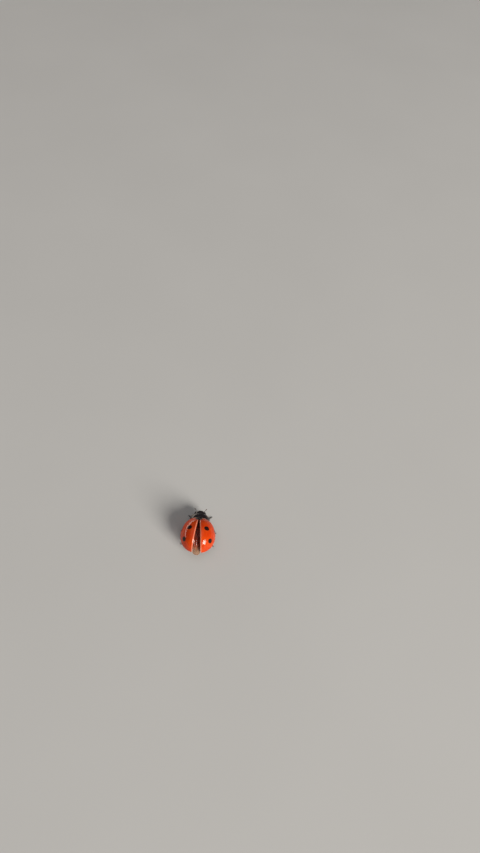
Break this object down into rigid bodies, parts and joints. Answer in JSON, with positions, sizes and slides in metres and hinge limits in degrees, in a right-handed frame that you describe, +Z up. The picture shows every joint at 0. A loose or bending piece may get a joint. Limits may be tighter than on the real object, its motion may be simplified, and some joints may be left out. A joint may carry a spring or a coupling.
{
  "type": "seven-spot ladybird",
  "caption": "Life-size still model of a red ladybird with black spots, standing, with its domed wing cases parted over the folded hind wings.",
  "frame": {"origin": "on the floor, in the midplane, under the middle of the insect's length", "axes": "+Z up, -Y towards the head, +X towards the insect's left side"},
  "size_m": [0.0058, 0.008, 0.0039],
  "materials": {
    "wing_case_red": "glossy, finely pitted orange-red shell with black spots and a pale line along the inner edge",
    "shell_black": "glossy, finely pitted black shell with cream patches on the pronotum's front corners and by the eyes",
    "body_black": "satin black underside and legs with short fine hairs",
    "eye_black": "glossy black compound eye with fine facets",
    "feeler_brown": "satin yellowish brown with a darker tip",
    "wing_amber": "thin smoky amber membrane with brown veins"
  },
  "bodies": {
    "root": {"head": "shell_black", "mouth": "shell_black", "pronotum": "shell_black", "scutellum": "shell_black", "thorax": "body_black", "abdomen": "body_black", "wing_case_left": "wing_case_red", "hind_wing_left": "wing_amber", "eye_left": "eye_black", "antenna_left": "feeler_brown", "palp_left": "feeler_brown", "front_femur_left": "body_black", "front_tibia_left": "body_black", "front_tarsus_left": "body_black", "middle_femur_left": "body_black", "middle_tibia_left": "body_black", "middle_tarsus_left": "body_black", "hind_femur_left": "body_black", "hind_tibia_left": "body_black", "hind_tarsus_left": "body_black", "wing_case_right": "wing_case_red", "hind_wing_right": "wing_amber", "eye_right": "eye_black", "antenna_right": "feeler_brown", "palp_right": "feeler_brown", "front_femur_right": "body_black", "front_tibia_right": "body_black", "front_tarsus_right": "body_black", "middle_femur_right": "body_black", "middle_tibia_right": "body_black", "middle_tarsus_right": "body_black", "hind_femur_right": "body_black", "hind_tibia_right": "body_black", "hind_tarsus_right": "body_black"}
  },
  "joints": []
}
